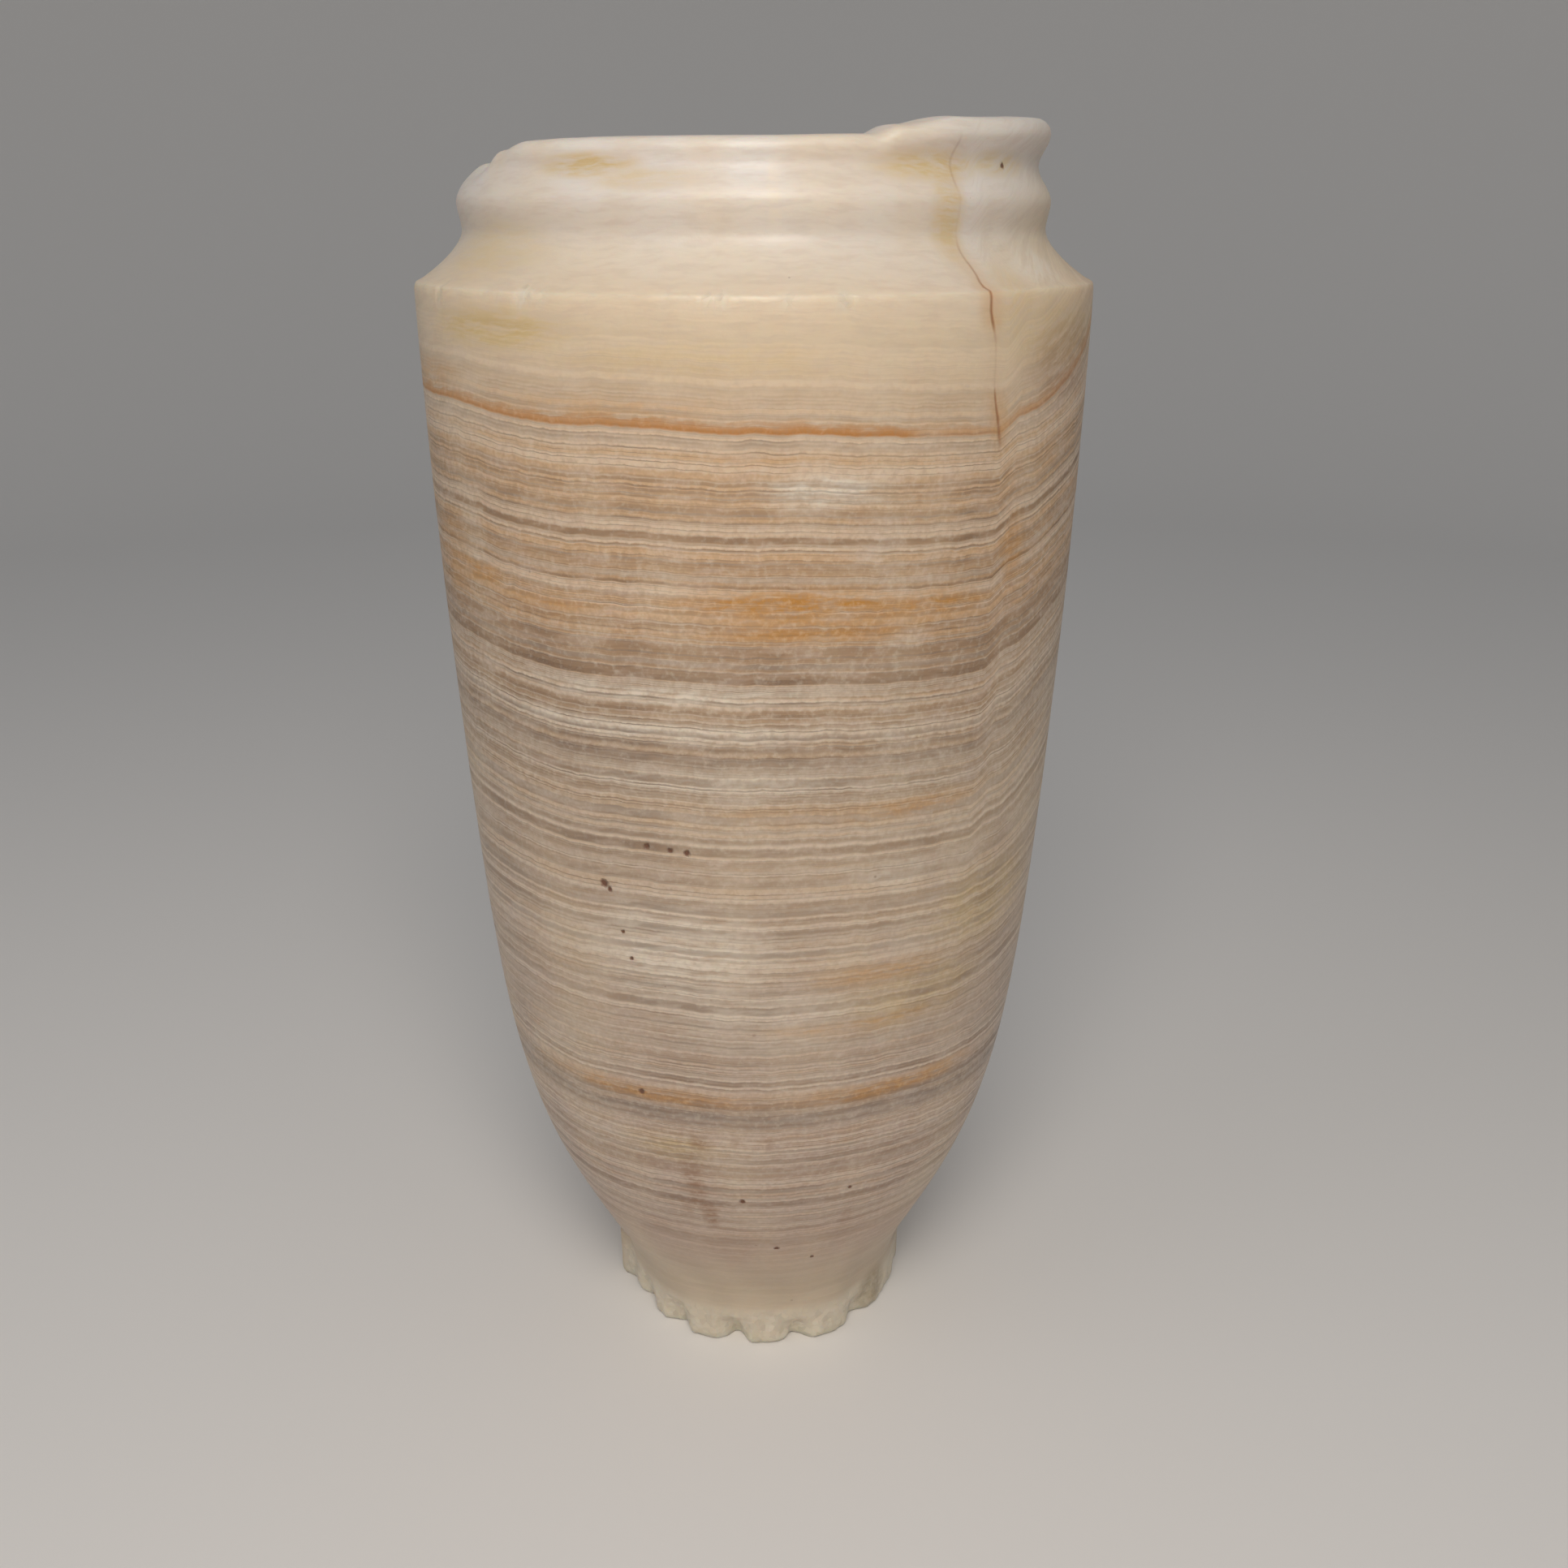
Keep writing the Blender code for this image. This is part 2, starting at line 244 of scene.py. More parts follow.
# How finely the mesh is cut; the whole stays under 200,000 triangles
COLUMNS = 384
UNDER_RINGS = 9
FOOT_RING = 0.42
BODY_RING = 1.02
EDGE_RINGS = 5
NECK_RING = 0.42
ROUND_RINGS = 5
TOP_RINGS = 7
HOLLOW_RING = 3.6
BOWL_RINGS = 9

# What the mesh tells the stone at every point
MARKS = (
    "layer", "crack", "crack_depth", "fresh_and_lit", "soil_and_shade", "iron_and_glow", "yellow", "pale", "seam", "mottle", "rust",
)


def smooth(share):
    """An S-shaped ease from 0 to 1."""
    share = min(1.0, max(0.0, share))
    return share * share * (3 - 2 * share)


def straight(share):
    return share


def mix(low, high, share):
    return low + (high - low) * share


def along(table, place, ease=smooth):
    """Reads a table of places and values between its entries."""
    if place <= table[0][0]:
        return table[0][1]
    for (left, value), (right, following) in zip(table, table[1:]):
        if place <= right:
            return mix(value, following, ease((place - left) / (right - left)))
    return table[-1][1]


def apart(azimuth, other):
    """Degrees from one place to another, the short way round."""
    return (azimuth - other + 180) % 360 - 180


def rough(azimuth, z, size, radius=34.0):
    """Even noise from -1 to 1 over the jar's surface, with lumps of a given size."""
    turn = math.radians(azimuth)
    return noise.noise(Vector((math.sin(turn) * radius, math.cos(turn) * radius, z)) / size)


def grainy(azimuth, z, grain):
    """Noises added up to a depth, from a list of lift, size and depth."""
    return sum(depth * rough(azimuth, z + lift, size) for lift, size, depth in grain)


def body_radius(z):
    """The body's outline: a steep swell above the waist that eases into a long straight slope."""
    share = min(1.0, max(0.0, (z - FOOT_HEIGHT) / BODY_HEIGHT))
    slope = SLOPE_SHARE * (1 - share) ** SLOPE_POWER
    swell = (1 - SLOPE_SHARE) * math.exp(-((share / SWELL_LENGTH) ** SWELL_POWER))
    return mix(WAIST_RADIUS, SHOULDER_RADIUS, 1 - slope - swell)


def neck_radius(z):
    """Bevel, neck hollow, ridge, groove and flaring lip."""
    if z < NECK_Z:
        return mix(NECK_RADIUS, SHOULDER_RADIUS, (1 - (z - SHOULDER_Z) / SHOULDER_RISE) ** BEVEL_POWER)
    if z < RIDGE_Z:
        return mix(NECK_RADIUS, RIDGE_RADIUS, smooth((z - NECK_Z) / RIDGE_RISE))
    if z < GROOVE_Z:
        return mix(RIDGE_RADIUS, GROOVE_RADIUS, smooth((z - RIDGE_Z) / GROOVE_RISE))
    return mix(GROOVE_RADIUS, LIP_RADIUS, smooth((z - GROOVE_Z) / LIP_RISE))


def inside_radius(z):
    """The drilled hollow: a bowl, then a wall of even thickness, then the undercut to the mouth."""
    radius = body_radius(z) - WALL
    if z < BOWL_Z:
        share = (BOWL_Z - z) / BOWL_HEIGHT
        radius *= math.sqrt(max(0.0, 1 - share * share))
    return mix(radius, MOUTH_RADIUS, smooth((z - UNDERCUT_Z) / UNDERCUT_HEIGHT))


def edge_inset(z, top, radius):
    """How far a rounded edge under a given top has fallen back at height z."""
    share = min(1.0, max(0.0, 1 - (top - z) / radius))
    return radius * (1 - math.sqrt(1 - share * share))


def heights(low, high, gap):
    """Evenly spaced heights from low up to just below high."""
    count = max(1, round((high - low) / gap))
    return [mix(low, high, i / count) for i in range(count)]


def rings():
    """Every ring from the underside up the outside, over the lip and down the hollow: part, radius, height.

    The rings of the lip's top have their share of the way from outer to inner edge in place of a radius.
    """
    foot_bottom = FOOT_RADIUS - FOOT_EDGE / 2
    made = [("underside", foot_bottom * (i + 1) / (UNDER_RINGS + 1), 0.0) for i in range(UNDER_RINGS)]
    for z in heights(0.0, FOOT_HEIGHT, FOOT_RING):
        low = mix(foot_bottom, FOOT_RADIUS, z / FOOT_EDGE)
        high = mix(WAIST_RADIUS, FOOT_RADIUS, (FOOT_HEIGHT - z) / FOOT_EDGE)
        made.append(("foot", min(FOOT_RADIUS, low, high), z))
    body_top = SHOULDER_Z - SHOULDER_EDGE
    made += [("body", body_radius(z), z) for z in heights(FOOT_HEIGHT, body_top, BODY_RING)]
    for i in range(EDGE_RINGS):
        turn = (i + 0.5) / EDGE_RINGS * math.pi / 2
        back = SHOULDER_EDGE * (1 - math.cos(turn)) * 0.5
        up = SHOULDER_EDGE * math.sin(turn) * 1.5
        made.append(("edge", SHOULDER_RADIUS - back, body_top + up))
    made += [("neck", neck_radius(z), z) for z in heights(SHOULDER_Z + SHOULDER_EDGE, LIP_Z, NECK_RING)]
    for i in range(ROUND_RINGS):
        z = TOP_Z - LIP_ROUND * (1 - math.sin(i / ROUND_RINGS * math.pi / 2))
        made.append(("neck", neck_radius(z), z))
    made += [("top", i / (TOP_RINGS - 1), TOP_Z) for i in range(TOP_RINGS)]
    made.append(("mouth", MOUTH_RADIUS + MOUTH_EDGE * 0.3, TOP_Z - MOUTH_EDGE * 0.3))
    mouth_heights = heights(SHOULDER_Z, TOP_Z - MOUTH_EDGE, HOLLOW_RING / 2)
    made += [("mouth", MOUTH_RADIUS, z) for z in mouth_heights[::-1]]
    made += [("hollow", inside_radius(z), z) for z in heights(BOWL_Z, SHOULDER_Z, HOLLOW_RING)[::-1]]
    for i in range(BOWL_RINGS):
        z = BOWL_Z - BOWL_HEIGHT * math.sin((i + 1) / (BOWL_RINGS + 1) * math.pi / 2)
        made.append(("hollow", inside_radius(z), z))
    return made


def foot_break(azimuth, z, radius):
    """The foot's radius where its rim is broken back and flaked, and how freshly it shows the break, which
    on its low set-back band is also painted light.
    """
    loss = along(FOOT_LOSS, azimuth)
    broken = mix(FOOT_RADIUS - loss, body_radius(BREAK_HEIGHT), (z / BREAK_HEIGHT) ** BREAK_POWER)
    flaked = 0.0
    for centre, half_width, deepest, height in FOOT_FLAKES:
        ragged = centre + FLAKE_WANDER * rough(azimuth, z + centre, 2.2)
        across = abs(apart(azimuth, ragged)) / half_width
        up = min(1.0, z / height)
        flaked = max(flaked, deepest * smooth(1 - across) * (1 - up * up))
    under = max(0.0, 1 - z / CURL_HEIGHT)
    flaked += CURL_DEPTH * (1 - math.sqrt(1 - under ** 2)) * smooth(loss)
    set_back = smooth(max(0.0, radius - broken) / FULL_BREAK)
    fresh_and_lit = max(smooth(flaked / FULL_FLAKE), 0.85 * set_back * smooth((FRESH_AND_LIT_TOP - z) / FRESH_AND_LIT_FADE))
    return min(radius, broken) - flaked + grainy(azimuth, z, FOOT_GRAIN) * fresh_and_lit, fresh_and_lit


def lip_point(part, radius, z, azimuth):
    """Places a point of the lip or mouth: lowered where it is broken, with a rough surface there."""
    breaks = along(LIP_ROUGHNESS, azimuth)
    loss = along(LIP_LOSS, azimuth)
    top = TOP_Z - loss - abs(grainy(azimuth, 0, LIP_EDGE_GRAIN)) * breaks * min(1.0, loss)
    rounding = mix(LIP_ROUND, WORN_ROUND, min(1.0, loss / WORN_DEPTH))
    if part == "top":
        share = radius
        hill = share * (1 - share) * 4
        grain = grainy(azimuth, share * 5, LIP_FACE_GRAIN) * hill * breaks
        hump = LIP_HUMP * math.sin(share * math.pi) * (1 - breaks)
        radius = mix(neck_radius(top) - rounding, MOUTH_RADIUS + MOUTH_EDGE, share)
        return radius, top + grain + hump, breaks
    if part == "mouth":
        return radius, mix(SHOULDER_Z, top, (z - SHOULDER_Z) / (TOP_Z - SHOULDER_Z)), 0.0
    if z <= RIDGE_Z:
        return radius, z, 0.0
    z = mix(RIDGE_Z, top, (z - RIDGE_Z) / (TOP_Z - RIDGE_Z))
    fresh_and_lit = breaks * smooth(1 - (top - z) / LIP_BREAK_REACH)
    bevel = BEVEL_SLOPE * max(0.0, along(LIP_BEVEL, azimuth) - (top - z))
    inset = max(edge_inset(z, top, rounding), bevel)
    return neck_radius(z) - inset + grainy(azimuth, z, LIP_SIDE_GRAIN) * fresh_and_lit, z, fresh_and_lit


def nick_depth(azimuth, z):
    """Small chips along the shoulder's edge: bites about 1.6 mm long, with finer ones of 0.7 mm."""
    near = smooth(1 - abs(z - SHOULDER_Z) / NICK_REACH)
    bite = max(0.0, rough(azimuth, 0, 1.6) - 0.12) + 0.5 * max(0.0, rough(azimuth, 40, 0.7) - 0.1)
    return near * bite * along(SHOULDER_NICKS, azimuth) * NICK_DEPTH


def jar_point(part, radius, z, azimuth):
    """The worn place of one ring point: radius, height and how freshly broken it is, which low on the foot
    is also painted light.
    """
    if part == "underside":
        whole = FOOT_RADIUS - FOOT_EDGE / 2
        edge, _ = foot_break(azimuth, 0.0, whole)
        radius = radius / whole * edge
        dish = UNDERSIDE_DISH * abs(rough(azimuth, radius, 4.0, radius)) * smooth(3 - radius / 6)
        return radius, dish, 0.0
    if part == "foot" or (part == "body" and z < BREAK_HEIGHT):
        radius, fresh_and_lit = foot_break(azimuth, z, radius)
        return radius, z, fresh_and_lit
    if part in ("neck", "top", "mouth"):
        radius, z, fresh_and_lit = lip_point(part, radius, z, azimuth)
        nick = nick_depth(azimuth, z) if part == "neck" else 0.0
        return radius - nick, z, max(fresh_and_lit, smooth(nick / FULL_NICK))
    if part == "hollow":
        drill_ring = DRILL_RING_DEPTH * math.sin(z * DRILL_RING_TURN)
        return radius + drill_ring + grainy(azimuth, z, HOLLOW_GRAIN), z, 0.0
    nick = nick_depth(azimuth, z)
    uneven = grainy(azimuth, z * 0.5, BODY_WAVES) + grainy(azimuth, z, BODY_RIPPLES)
    return radius + uneven - nick, z, smooth(nick / FULL_NICK)


def layer_rise(azimuth, z):
    """How much higher than in front the stone's layers lie here."""
    rise = along(LAYER_RISE, azimuth, straight)
    if azimuth > FOLD and z > SEAM_Z:
        fan = FAN_SHARE * min(1.0, (z - SEAM_Z) / FAN_HEIGHT) * smooth((FAN_END - azimuth) / FAN_FADE)
        rise += (rise + FOLD_SINK) * fan
    lower = LOWER_RISE * math.sin(math.radians(min(90, abs(azimuth))) / 2) ** 2
    return mix(lower, rise, along(RISE_SHARE, z))


def cloud(patches, azimuth, z):
    """How strongly a list of stains or clouds covers this place."""
    covered = 0.0
    for centre, height, half_width, half_height, strength in patches:
        across = apart(azimuth, centre) / half_width
        up = (z - height) / half_height
        if abs(across) < 1 and abs(up) < 1:
            covered = max(covered, strength * smooth(1.5 - 1.5 * math.hypot(across, up)))
    return covered


def marks_at(part, azimuth, radius, z, fresh_and_lit):
    """What the stone shows at this place, in the order of MARKS."""
    inside = part in ("mouth", "hollow")
    off_crack = apart(azimuth, along(CRACK, z, straight))
    crack_depth = along(CRACK_DEPTH, z) * smooth((CRACK_SIDE - abs(off_crack)) / CRACK_SIDE_FADE)
    soil_and_shade = cloud(SOIL_AND_SHADE, azimuth, z)
    if inside:
        soil_and_shade = max(soil_and_shade, along(HOLLOW_SOIL, z))
    if part == "underside":
        soil_and_shade = max(soil_and_shade, UNDERSIDE_SOIL)
    clouds = 0.35 * rough(azimuth, z * 0.4, 13.0, radius) + 0.25 * rough(azimuth, z * 0.5 + 50, 5.0, radius)
    return (
        z - layer_rise(azimuth, z) + LAYER_WANDER * rough(azimuth, z * 0.25, 15.0, radius),
        math.radians(off_crack) * radius,
        crack_depth * CRACK_INSIDE if inside else crack_depth,
        fresh_and_lit,
        soil_and_shade,
        0.0 if inside else cloud(IRON_AND_GLOW, azimuth, z),
        0.0 if inside else cloud(YELLOW, azimuth, z),
        0.0 if inside else cloud(PALE, azimuth, z),
        along(SEAM_RUN, azimuth),
        0.5 + clouds,
        cloud(RUST, azimuth, z),
    )


def turned_jar():
    """The jar as one closed mesh, with what the stone shows kept at its points."""
    ring_list = rings()
    points, marks = [], []
    azimuths = [360 * i / COLUMNS - 180 for i in range(COLUMNS)]
    for part, ring_radius, ring_z in ring_list:
        for azimuth in azimuths:
            radius, z, fresh_and_lit = jar_point(part, ring_radius, ring_z, azimuth)
            turn = math.radians(azimuth)
            points.append((radius * math.sin(turn) * MM, -radius * math.cos(turn) * MM, z * MM))
            marks.append(marks_at(part, azimuth, radius, z, fresh_and_lit))
    under_centre, bowl_centre = len(points), len(points) + 1
    points += [(0, 0, UNDERSIDE_DISH * MM), (0, 0, FLOOR_THICKNESS * MM)]
    marks += [marks_at("underside", 0, 0, 0, 0), marks_at("hollow", 0, 0, FLOOR_THICKNESS, 0)]
    faces = []
    last = (len(ring_list) - 1) * COLUMNS
    for i in range(COLUMNS):
        j = (i + 1) % COLUMNS
        faces.append((j, i, under_centre))
        faces.append((last + i, last + j, bowl_centre))
        for start in range(0, last, COLUMNS):
            faces.append((start + i, start + j, start + COLUMNS + j, start + COLUMNS + i))
    mesh = bpy.data.meshes.new("turned_jar")
    mesh.from_pydata(points, [], faces)
    for place, name in enumerate(MARKS):
        values = [shown[place] for shown in marks]
        mesh.attributes.new(name, "FLOAT", "POINT").data.foreach_set("value", values)
    mesh.shade_smooth()
    jar = bpy.data.objects.new("turned_jar", mesh)
    bpy.context.scene.collection.objects.link(jar)
    return jar


def linear(hex_colour):
    """An sRGB hex colour as the linear colour that the nodes take."""
    parts = [int(hex_colour[i:i + 2], 16) / 255 for i in (1, 3, 5)]
    return [c / 12.92 if c <= 0.04045 else ((c + 0.055) / 1.055) ** 2.4 for c in parts] + [1.0]


def add(tree, kind, inputs=(), out=0, stops=(), **settings):
    """Adds a node with its settings, links and plain values, and gives the output asked for.

    A ramp's stops are heights on the jar in millimetres and their sRGB colours.
    """
    made = tree.nodes.new("ShaderNode" + kind)
    for name, value in settings.items():
        setattr(made, name, value)
    for name, value in dict(inputs).items():
        if isinstance(value, bpy.types.NodeSocket):
            tree.links.new(value, made.inputs[name])
        else:
            made.inputs[name].default_value = value
    if stops:
        elements = made.color_ramp.elements
        while len(elements) < len(stops):
            elements.new(0.5)
        for element, (height, colour) in zip(elements, stops):
            element.position = height / TOP_Z
            element.color = linear(colour)
    return made.outputs[out]


# The stone's own colour from the foot up: olive beige, rose beige, tan, then a pale cream neck
STONE = (
    (0, "#c8bca6"), (10, "#c0ae96"), (20, "#c2a996"), (36, "#c7b09e"), (62, "#cbb6a0"), (84, "#d0b99e"),
    (98, "#d3ae86"), (116, "#d6b48e"), (123, "#dcc4a6"), (131, "#e2d0b4"), (138, "#e0d5c7"),
    (143, "#e1dad2"), (150, "#dfd8cf"),
)
# How strongly the fine lines show from the foot up, as greys
LINE_STRENGTH = (
    (0, "#202020"), (16, "#707070"), (28, "#d0d0d0"), (45, "#d8d8d8"), (54, "#c0c0c0"), (72, "#c4c4c4"),
    (90, "#f0f0f0"), (110, "#e4e4e4"), (120, "#d0d0d0"), (123, "#a4a4a4"), (127, "#707070"),
    (131, "#4c4c4c"), (138, "#3c3c3c"), (150, "#2c2c2c"),
)
# Where the stone is greyer from the foot up, as greys
GREY_ZONES = (
    (0, "#000000"), (40.6, "#000000"), (42.8, "#c8c8c8"), (45, "#000000"), (79.5, "#101010"),
    (82.5, "#707070"), (85, "#505050"), (86.5, "#808080"), (88.8, "#909090"), (91, "#505050"),
    (93.5, "#606060"), (97.5, "#909090"), (99.6, "#404040"), (101, "#000000"),
)
# Lines and bands seen in the stone: height, half width, darkness; a ramp holds 32 stops, three to a line
LINES = (
    (29.2, 0.8, 0.55), (34.4, 1.1, 0.9), (36.8, 0.35, 0.9), (40.2, 0.3, 0.5), (42.6, 0.9, 1.0),
    (44.4, 0.6, 1.0), (50.3, 0.25, 0.55), (52.6, 0.22, 0.35), (54.6, 0.32, 0.75), (58.0, 0.22, 0.5),
    (60.6, 0.22, 0.55), (62.2, 0.25, 0.6), (65.6, 0.28, 0.6), (70.0, 0.25, 0.4), (74.3, 0.3, 0.65),
    (77.0, 0.25, 0.5), (79.0, 0.28, 0.55), (81.2, 0.34, 0.75), (84.2, 0.4, 0.65), (85.6, 0.25, 0.5),
    (87.3, 0.4, 1.0), (88.5, 0.4, 0.95), (91.6, 0.3, 0.9), (92.7, 0.3, 1.0), (95.2, 0.28, 0.9),
    (96.9, 0.28, 0.8), (98.5, 0.32, 1.0), (100.2, 0.3, 0.6), (101.8, 0.3, 0.7), (105.6, 0.35, 0.5),
    (107.2, 0.3, 0.8), (108.7, 0.32, 0.9), (110.3, 0.3, 0.6), (111.8, 0.35, 0.8), (114.6, 0.6, 0.5),
    (116.5, 0.5, 0.45), (118.5, 0.7, 0.5), (119.9, 0.2, 0.4), (127.2, 0.4, 0.4), (141.0, 1.2, 0.4),
)
LINES_A_RAMP = 10
# Fine growth lines: spacing of their noise, how near its middle a line starts, darkness
FINE_LINES = ((2.4, 0.034, 0.95), (1.3, 0.05, 0.75), (0.9, 0.07, 0.5))
# How far the layers ripple and how far the crystal grains fray them
RIPPLE_RISE = 0.5
GRAIN_RISE = 0.16
# Noises are turned off the axes so that their grid doesn't show
OFF_AXIS = {"Axis": (0.6, 0.5, 0.62), "Angle": 0.9}


def crossings(tree, height, spacing, edge, core, strength):
    """Thin lines wherever a noise that runs up the jar crosses its middle."""
    layers = add(tree, "TexNoise", {"W": height, "Scale": 1 / spacing, "Detail": 1.0},
                 noise_dimensions="1D")
    off_line = add(tree, "Math", {0: layers, 1: 0.5}, operation="SUBTRACT")
    off_line = add(tree, "Math", {0: off_line}, operation="ABSOLUTE")
    return add(tree, "MapRange", {"Value": off_line, "From Min": edge, "From Max": core,
                                  "To Max": strength})


def growth_lines(tree, height, share):
    """The named lines and bands, and the fine lines between them."""
    lines = 0.0
    for start in range(0, len(LINES), LINES_A_RAMP):
        stops = []
        for middle, half_width, darkness in LINES[start:start + LINES_A_RAMP]:
            grey = "#" + f"{round(255 * darkness):02x}" * 3
            stops += [(middle - half_width, "#000000"), (middle, grey), (middle + half_width, "#000000")]
        drawn = add(tree, "ValToRGB", {"Fac": share}, stops=stops)
        lines = add(tree, "Math", {0: lines, 1: drawn}, operation="MAXIMUM")
    for spacing, edge, darkness in FINE_LINES:
        drawn = crossings(tree, height, spacing, edge, edge * 0.3, darkness)
        lines = add(tree, "Math", {0: lines, 1: drawn}, operation="MAXIMUM")
    return lines


def pit_holes(tree, place, grain_colour):
    """Small holes whose rims are frayed by the grains."""
    fray = 0.5
    frayed = add(tree, "VectorMath", {0: grain_colour, 1: [fray] * 3, 2: place}, operation="MULTIPLY_ADD")
    holes = 0.0
    for azimuth, z, radius in PITS:
        turn = math.radians(azimuth)
        out = body_radius(z) if z < SHOULDER_Z else neck_radius(z)
        middle = (out * math.sin(turn) + fray / 2, -out * math.cos(turn) + fray / 2, z + fray / 2)
        away = add(tree, "VectorMath", {0: frayed, 1: middle}, out="Value", operation="DISTANCE")
        hole = add(tree, "MapRange", {"Value": away, "From Min": radius, "From Max": radius * 0.45})
        holes = add(tree, "Math", {0: hole, 1: holes}, operation="MAXIMUM")
    return holes


def dark_specks(tree, place):
    """Specks up to 0.3 mm in radius, one at most in each cell of 4.5 mm, and none in most."""
    away = add(tree, "TexVoronoi", {"Vector": place, "Scale": 1 / 4.5}, out="Distance")
    chance = add(tree, "SeparateColor", {"Color": away.node.outputs["Color"]})
    size = add(tree, "MapRange", {"Value": chance, "From Min": 0.7, "From Max": 1.0, "To Max": 0.07})
    return add(tree, "MapRange", {"Value": away, "From Min": size, "From Max": 0.0, "To Max": 0.6})


def banded_calcite():
    """Banded calcite alabaster, turned and rubbed to an old polish: warm cream that light sinks into a
    little, with fine growth lines 0.2 to 0.8 mm thick, softly glossy, sugary where it is broken."""
    material = bpy.data.materials.new("banded_calcite_alabaster")
    material.use_nodes = True
    tree = material.node_tree
    shader = tree.nodes["Principled BSDF"]
    mark = {name: add(tree, "Attribute", out="Fac", attribute_name=name) for name in MARKS}
    place = add(tree, "TexCoord", out="Object")
    place = add(tree, "VectorMath", {0: place, "Scale": 1 / MM}, operation="SCALE")

    # The layers ripple by up to a quarter of a millimetre, and crystal grains of 0.7 mm fray their edges
    flat = add(tree, "VectorMath", {0: place, 1: (1, 1, 0.25)}, operation="MULTIPLY")
    flat = add(tree, "VectorRotate", {"Vector": flat, **OFF_AXIS})
    ripple = add(tree, "TexNoise", {"Vector": flat, "Scale": 1 / 2.6, "Detail": 1.0})
    ripple = add(tree, "Math", {0: ripple, 1: 0.5}, operation="SUBTRACT")
    turned = add(tree, "VectorRotate", {"Vector": place, **OFF_AXIS})
    grain_colour = add(tree, "TexNoise", {"Vector": turned, "Scale": 1 / 0.7, "Detail": 2.0,
                                          "Roughness": 0.6}, out="Color")
    grain = grain_colour.node.outputs["Fac"]
    height = add(tree, "Math", {0: ripple, 1: RIPPLE_RISE, 2: mark["layer"]}, operation="MULTIPLY_ADD")
    height = add(tree, "Math", {0: grain, 1: GRAIN_RISE, 2: height}, operation="MULTIPLY_ADD")
    height = add(tree, "Math", {0: height, 1: GRAIN_RISE / 2}, operation="SUBTRACT")
    share = add(tree, "Math", {0: height, 1: TOP_Z}, operation="DIVIDE")
    colour = add(tree, "ValToRGB", {"Fac": share}, stops=STONE)
    strength = add(tree, "ValToRGB", {"Fac": share}, stops=LINE_STRENGTH)
    grey_zones = add(tree, "ValToRGB", {"Fac": share}, stops=GREY_ZONES)

    # Noises that change quickly from layer to layer: dashes 5 mm long, patches 3.2 mm long, bands of 4.5 mm
    by_layer = add(tree, "CombineXYZ", {"Z": add(tree, "Math", {0: height, 1: 5.0}, operation="MULTIPLY")})
    by_layer = add(tree, "VectorMath", {0: flat, 1: by_layer}, operation="ADD")
    dash = add(tree, "TexNoise", {"Vector": by_layer, "Scale": 1 / 5, "Detail": 2.0, "Roughness": 0.6})
    patch = add(tree, "TexNoise", {"Vector": by_layer, "Scale": 1 / 3.2, "Detail": 2.0, "Roughness": 0.65})
    broad = add(tree, "TexNoise", {"W": height, "Scale": 1 / 4.5, "Detail": 2.0}, noise_dimensions="1D")

    # Each mask stretches a part of a noise or mark: its source, from low to high, and what that becomes
    mask = {}
    for name, source, low, high, least, most in (
        ("tan", dash, 0.48, 0.66, 0.0, 0.35),
        ("pink", dash, 0.5, 0.34, 0.0, 0.45),
        ("broad", broad, 0.4, 0.65, 0.0, 0.25),
        ("patchy", patch, 0.36, 0.58, 0.3, 1.0),
        ("beads", grain, 0.35, 0.65, 0.78, 1.0),
        ("ragged", grain, 0.3, 0.7, 0.65, 1.2),
        ("dark_grain", grain, 0.52, 0.3, 0.0, 0.34),
        ("light_grain", grain, 0.5, 0.72, 0.0, 0.34),
        ("cloudy", mark["mottle"], 0.5, 0.75, 0.0, 0.5),
        ("fading", mark["mottle"], 0.3, 0.62, 1.12, 0.72),
        ("satin", mark["mottle"], 0.3, 0.7, 0.36, 0.5),
    ):
        mask[name] = add(tree, "MapRange", {"Value": source, "From Min": low, "From Max": high,
                                            "To Min": least, "To Max": most})
    patchy = mask["patchy"]
    veil = add(tree, "MapRange", {"Value": patchy, "From Min": 0.9, "From Max": 0.3, "To Max": 0.2})
    dashes = add(tree, "MapRange", {"Value": dash, "From Min": 0.36, "From Max": 0.58, "To Min": 0.6},
                 interpolation_type="SMOOTHSTEP")
    dark_grain = add(tree, "Math", {0: mask["dark_grain"], 1: strength}, operation="MULTIPLY")

    # The lines break into dashes, each is beaded by the grains, and clouds of 13 and 5 mm fade them
    lines = growth_lines(tree, height, share)
    for factor in (strength, dashes, mask["beads"], mask["fading"]):
        lines = add(tree, "Math", {0: lines, 1: factor}, operation="MULTIPLY")
    other_layers = add(tree, "Math", {0: height, 1: 500.0})
    light_lines = crossings(tree, other_layers, 1.6, 0.07, 0.02, 0.6)

    # The orange seam has a sharp lower edge and fades upwards
    over_seam = add(tree, "Math", {0: height, 1: SEAM_Z - 0.45}, operation="SUBTRACT")
    seam_low = add(tree, "MapRange", {"Value": over_seam, "From Max": 0.2})
    seam_reach = add(tree, "Math", {0: patchy, 1: 1.1, 2: 0.75}, operation="MULTIPLY_ADD")
    seam_high = add(tree, "MapRange", {"Value": over_seam, "From Min": seam_reach, "From Max": 0.3},
                    interpolation_type="SMOOTHSTEP")

